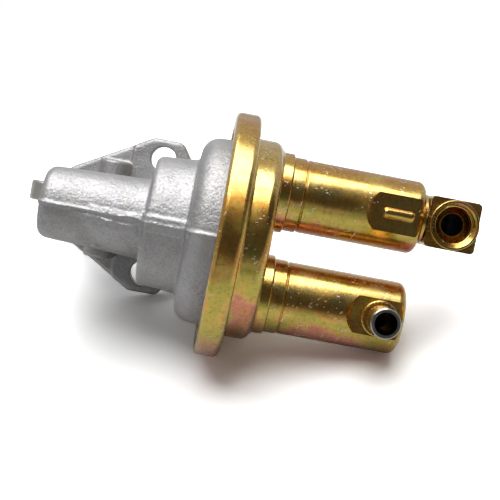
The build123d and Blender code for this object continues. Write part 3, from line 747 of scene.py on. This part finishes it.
class RoughenCasting(bpy.types.Operator):
    """Give the casting its uneven skin, with the ragged parting line and the pits"""

    bl_idname = "pump.roughen_casting"
    bl_label = "Roughen the casting"

    def execute(self, context):
        skin = context.scene.pump_skin
        source = frame["nodes"]["body_casting"]
        piece = bpy.data.objects.new("casting_skin", source.data.copy())
        context.scene.collection.objects.link(piece)
        self.add_modifier(piece, "REMESH", mode="VOXEL", voxel_size=skin.facet)
        self.add_modifier(piece, "SMOOTH", factor=0.5, iterations=3)
        piece.data = self.applied(piece)
        directions = [vertex.normal.copy() for vertex in piece.data.vertices]
        places = [vertex.co.copy() for vertex in piece.data.vertices]
        moved = [place + skin_relief(place, skin) * out for place, out in zip(places, directions)]
        piece.data.vertices.foreach_set("co", [value for place in moved for value in place])
        piece.data.update()
        share = skin.triangles / (2 * len(piece.data.polygons))
        if share < 1:
            self.add_modifier(piece, "DECIMATE", ratio=share)
            piece.data = self.applied(piece)
        for face in piece.data.polygons:
            face.use_smooth = True
        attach(piece, "housing")
        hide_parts("body_casting")
        return {"FINISHED"}

    def add_modifier(self, piece, kind, **settings):
        """Add a modifier with its settings."""
        modifier = piece.modifiers.new(kind.lower(), kind)
        for name, value in settings.items():
            setattr(modifier, name, value)

    def applied(self, piece):
        """The piece's mesh with its modifiers worked in, and the modifiers taken off."""
        shaped = piece.evaluated_get(bpy.context.evaluated_depsgraph_get())
        mesh = bpy.data.meshes.new_from_object(shaped)
        piece.modifiers.clear()
        return mesh


def stand_in(node, name=None):
    """A copy of a CAD node's mesh as a piece of its own."""
    source = frame["nodes"][node]
    piece = bpy.data.objects.new(name or node + "_fitted", source.data.copy())
    bpy.context.scene.collection.objects.link(piece)
    return piece


class FitSprings(bpy.types.Operator):
    """Put a copy of each spring on the housing in place of its CAD node"""

    bl_idname = "pump.fit_springs"
    bl_label = "Fit the springs"

    def execute(self, context):
        for node, (joint, travel, held_end) in SPRINGS.items():
            low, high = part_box(node)
            piece = stand_in(node)
            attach(piece, "housing")
            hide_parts(node)
            anchor = (high if held_end > 0 else low).copy()
            1 - travel / (high.x - low.x)
            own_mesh(piece)
        return {"FINISHED"}


class FitDiaphragm(bpy.types.Operator):
    """Cut copies of the diaphragm into sectors about the pump's axis, in place of its CAD node"""

    bl_idname = "pump.fit_diaphragm"
    bl_label = "Fit the diaphragm"

    def execute(self, context):
        centre = middle("diaphragm")
        centre.z = 0.0
        for sector in range(SECTORS):
            piece = stand_in("diaphragm", f"diaphragm_sector_{sector + 1}")
            edges = [2 * pi * (sector + side) / SECTORS for side in (0, 1)]
            self.cut_sector(piece.data, centre, *edges)
            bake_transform(piece)
            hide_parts("diaphragm")
        return {"FINISHED"}

    def cut_sector(self, data, centre, first, last):
        """Keep the slice of a mesh between two angles about the pump's axis."""
        mesh = bmesh.new()
        mesh.from_mesh(data)
        for turn, side in ((first, -1), (last, 1)):
            across = Vector((0.0, -sin(turn), cos(turn))) * side
            everything = [*mesh.verts, *mesh.edges, *mesh.faces]
            bmesh.ops.bisect_plane(mesh, geom=everything, plane_co=centre, plane_no=across, clear_outer=True)
        mesh.to_mesh(data)
        mesh.free()


class FinishInnerParts(bpy.types.Operator):
    """Finish the arm, pins, springs, plates, seats and rubber parts"""

    bl_idname = "pump.finish_inner_parts"
    bl_label = "Finish the inner parts"

    def execute(self, context):
        arm = dull_metal("arm_steel_forged", ARM_COLOURS, roughness=0.42, grain=0.0012, depth=0.00005)
        ground = dull_metal(
            "ground_steel", GROUND_COLOURS, roughness=0.20, grain=0.0006, depth=0.000006, along=(0.2, 1, 1)
        )
        wire = dull_metal("spring_wire_steel", WIRE_COLOURS, roughness=0.32, grain=0.0008, depth=0.00001)
        sheet = dull_metal("plate_steel_bright", SHEET_COLOURS, roughness=0.30, grain=0.0010, depth=0.00001)
        brass = dull_metal("turned_brass", BRASS_COLOURS, roughness=0.26, grain=0.0006, depth=0.00001)
        bore = ("elbow_seat", SEAT_BORE_RADIUS)
        seat = dull_metal(
            "flare_seat_brass", BRASS_COLOURS, roughness=0.22, grain=0.0006, depth=0.00001, bore=bore
        )
        dress(arm, "rocker_arm")
        dress(ground, *GROUND_NODES)
        dress(wire, *SPRING_NODES)
        dress(sheet, *SHEET_NODES)
        dress(brass, *BRASS_NODES)
        dress(seat, "elbow_seat")
        dress(moulded_rubber("nitrile_rubber", NITRILE_COLOURS), *RUBBER_NODES)
        dress(moulded_rubber("diaphragm_sheet", DIAPHRAGM_COLOURS, weave=260.0), "diaphragm")
        return {"FINISHED"}


class CutPortThread(bpy.types.Operator):
    """Cut the thread in the outlet port's wall"""

    bl_idname = "pump.cut_port_thread"
    bl_label = "Cut the port's thread"

    def execute(self, context):
        size = context.scene.pump_thread
        boss_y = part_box("outlet_elbow")[0].y
        port = middle("elbow_seat")
        last = int((size.end - size.start) / size.pitch * size.steps)
        rings = []
        for step in range(last + 1):
            turn = 2 * pi * step / size.steps
            depth = boss_y + size.start + size.pitch * step / size.steps
            from_end = min(step, last - step) / size.steps
            rise = size.depth * min(1.0, THREAD_START_SHARE + from_end / THREAD_RUN_IN)
            section = [(THREAD_ROOT, -THREAD_FOOT)]
            section += [(-share * rise, place) for share, place in THREAD_CREST]
            section += [(THREAD_ROOT, THREAD_FOOT)]
            ring = []
            for outward, place in section:
                radius = size.radius + outward
                along = depth + place * size.pitch
                ring.append((port.x + radius * cos(turn), along, port.z + radius * sin(turn)))
            rings.append(ring)
        mesh = swept_mesh("port_thread", rings)
        plating = frame["nodes"]["outlet_elbow"].material_slots[0].material
        new_piece("port_thread", mesh, plating)
        return {"FINISHED"}


def camera_directions():
    """Where the camera looks, and its right and up, from the angles that the photograph was taken at."""
    yaw, pitch, roll = (radians(turn) for turn in (CAMERA_YAW, CAMERA_PITCH, CAMERA_ROLL))
    ahead = Vector((sin(yaw) * cos(pitch), cos(yaw) * cos(pitch), -sin(pitch)))
    level = Vector((cos(yaw), -sin(yaw), 0.0))
    over = level.cross(ahead)
    right = cos(roll) * level + sin(roll) * over
    up = cos(roll) * over - sin(roll) * level
    return ahead, right, up


class LightStage(bpy.types.Operator):
    """Set the camera, the white table that the pump rests on, the lamps and the backdrop"""

    bl_idname = "pump.light_stage"
    bl_label = "Light the stage"

    def execute(self, context):
        studio = context.scene.pump_studio
        ahead, right, up = camera_directions()
        self.set_camera(context.scene, studio, ahead, right, up)
        table_up = Vector(TABLE_UP).normalized()
        away = (ahead - ahead.dot(table_up) * table_up).normalized()
        side = away.cross(table_up)
        meshes = [node.data for node in frame["nodes"].values()]
        level = min(table_up.dot(vertex.co) for mesh in meshes for vertex in mesh.vertices)
        centre = (CAD_BOX[0] + CAD_BOX[1]) / 2
        foot = centre + (level - centre.dot(table_up)) * table_up
        self.lay_floor(studio, foot, side, away, table_up)
        lamps = (("key_lamp", KEY_OFFSETS, studio.key_power), ("fill_lamp", FILL_OFFSETS, studio.fill_power))
        for name, (above, beyond, aside), power in lamps:
            place = foot + above * table_up + beyond * away + aside * side
            self.hang_lamp(name, place, foot, studio.lamp_size, power)
        self.fill_room(context.scene, studio, table_up, away)
        context.scene.view_settings.view_transform = "Standard"
        return {"FINISHED"}

    def set_camera(self, scene, studio, ahead, right, up):
        """Place the camera where the photograph was taken from."""
        camera = bpy.data.objects.new("camera", bpy.data.cameras.new("camera"))
        scene.collection.objects.link(camera)
        camera.data.sensor_width = SENSOR_WIDTH
        camera.data.lens = studio.lens
        turn = Matrix((right, up, -ahead)).transposed().to_4x4()
        camera.matrix_world = Matrix.Translation(CAMERA_PLACE) @ turn
        scene.camera = camera

    def lay_floor(self, studio, foot, side, away, table_up):
        """Lay the white sheet under the pump's resting points."""
        half = studio.floor_size / 2
        middle_of_sheet = foot - FLOOR_GAP * table_up
        signs = ((-1, -1), (1, -1), (1, 1), (-1, 1))
        corners = [middle_of_sheet + a * half * side + b * half * away for a, b in signs]
        mesh = bpy.data.meshes.new("floor")
        mesh.from_pydata([tuple(corner) for corner in corners], [], [(0, 1, 2, 3)])
        mesh.update()
        if mesh.polygons[0].normal.dot(table_up) < 0:
            mesh.flip_normals()
        floor = bpy.data.objects.new("floor", mesh)
        bpy.context.scene.collection.objects.link(floor)
        mesh.materials.append(self.white_sheet(studio, foot))

    def white_sheet(self, studio, foot):
        """Paper that keeps the pump's shadow, turns plain white far from it and is clear from below."""
        material, surface = new_surface("white_sheet")
        grey = surface.node("ShaderNodeBsdfDiffuse", None, {"Color": (studio.floor_mirrored,) * 3})
        paper = surface.node("ShaderNodeBsdfDiffuse", None, {"Color": (studio.floor_seen,) * 3})
        white = surface.node("ShaderNodeAddShader", None, {0: paper, 1: paper})
        seen = surface.node("ShaderNodeLightPath", None, None, "Is Camera Ray")
        shown = surface.node("ShaderNodeMixShader", None, {0: seen, 1: grey, 2: white})
        ends = {0: surface.place(), 1: tuple(foot)}
        offset = surface.node("ShaderNodeVectorMath", {"operation": "DISTANCE"}, ends, "Value")
        glow = surface.node("ShaderNodeEmission", None, {"Color": WHITE, "Strength": 1.0})
        far_off = offset.between(studio.floor_fade * 0.5, studio.floor_fade) * seen
        shown = surface.node("ShaderNodeMixShader", None, {0: far_off, 1: shown, 2: glow})
        clear = surface.node("ShaderNodeBsdfTransparent")
        behind = surface.node("ShaderNodeNewGeometry", None, None, "Backfacing")
        one_sided = surface.node("ShaderNodeMixShader", None, {0: behind, 1: shown, 2: clear})
        surface.node("ShaderNodeOutputMaterial", None, {"Surface": one_sided})
        return material

    def hang_lamp(self, name, place, target, size, power):
        """Hang a square soft lamp that faces the pump."""
        data = bpy.data.lights.new(name, "AREA")
        data.shape = "SQUARE"
        data.size = size
        data.energy = power
        lamp = bpy.data.objects.new(name, data)
        bpy.context.scene.collection.objects.link(lamp)
        facing = (target - place).to_track_quat("-Z", "Y").to_matrix().to_4x4()
        lamp.matrix_world = Matrix.Translation(place) @ facing

    def fill_room(self, scene, studio, table_up, away):
        """Surround the pump with a room that is white behind and overhead and dim in front."""
        world = bpy.data.worlds.new("room")
        world.use_nodes = True
        surface = Surface(world.node_tree)
        direction = surface.place("Generated")
        height = surface.along(direction, tuple(table_up))
        depth = surface.along(direction, tuple(away))
        behind = depth.between(*WALL_EDGE) * studio.behind_light
        low = height.between(*TABLE_EDGE) * studio.low_light
        bright = behind.larger(low) + studio.front_light
        room = surface.node("ShaderNodeBackground", None, {"Color": WHITE, "Strength": bright})
        paper = surface.node("ShaderNodeBackground", None, {"Color": WHITE, "Strength": 1.0})
        seen = surface.node("ShaderNodeLightPath", None, None, "Is Camera Ray")
        through = surface.node("ShaderNodeLightPath", None, None, "Is Transmission Ray")
        shown = surface.node("ShaderNodeMixShader", None, {0: seen.larger(through), 1: room, 2: paper})
        surface.node("ShaderNodeOutputWorld", None, {"Surface": shown})
        scene.world = world


class PumpPanel(bpy.types.Panel):
    """The pump's steps, in order"""

    bl_idname = "VIEW3D_PT_pump"
    bl_label = "Fuel lift pump"
    bl_space_type = "VIEW_3D"
    bl_region_type = "UI"
    bl_category = "Pump"

    def draw(self, context):
        for operator in OPERATORS:
            self.layout.operator(operator.bl_idname)
        for name, kind in GROUPS.items():
            box = self.layout.box()
            box.label(text=kind.__doc__)
            for field in kind.__annotations__:
                box.prop(getattr(context.scene, name), field)


GROUPS = {
    "pump_plating": PlatingLook,
    "pump_casting": CastingLook,
    "pump_skin": CastingSkin,
    "pump_thread": ThreadSize,
    "pump_studio": StudioLight,
}
OPERATORS = (
    PlateZincParts,
    FinishCasting,
    RoughenCasting,
    FinishInnerParts,
    FitSprings,
    FitDiaphragm,
    CutPortThread,
    LightStage,
)


def register():
    for name, kind in GROUPS.items():
        bpy.utils.register_class(kind)
        setattr(bpy.types.Scene, name, PointerProperty(type=kind))
    for kind in (*OPERATORS, PumpPanel):
        bpy.utils.register_class(kind)


def unregister():
    for kind in (*OPERATORS, PumpPanel):
        bpy.utils.unregister_class(kind)
    for name, kind in GROUPS.items():
        delattr(bpy.types.Scene, name)
        bpy.utils.unregister_class(kind)


def main():
    register()
    bpy.ops.pump.plate_zinc_parts()
    bpy.ops.pump.finish_casting()
    bpy.ops.pump.roughen_casting()
    bpy.ops.pump.finish_inner_parts()
    bpy.ops.pump.fit_springs()
    bpy.ops.pump.fit_diaphragm()
    bpy.ops.pump.cut_port_thread()
    bpy.ops.pump.light_stage()


if __name__ == "__main__":
    main()
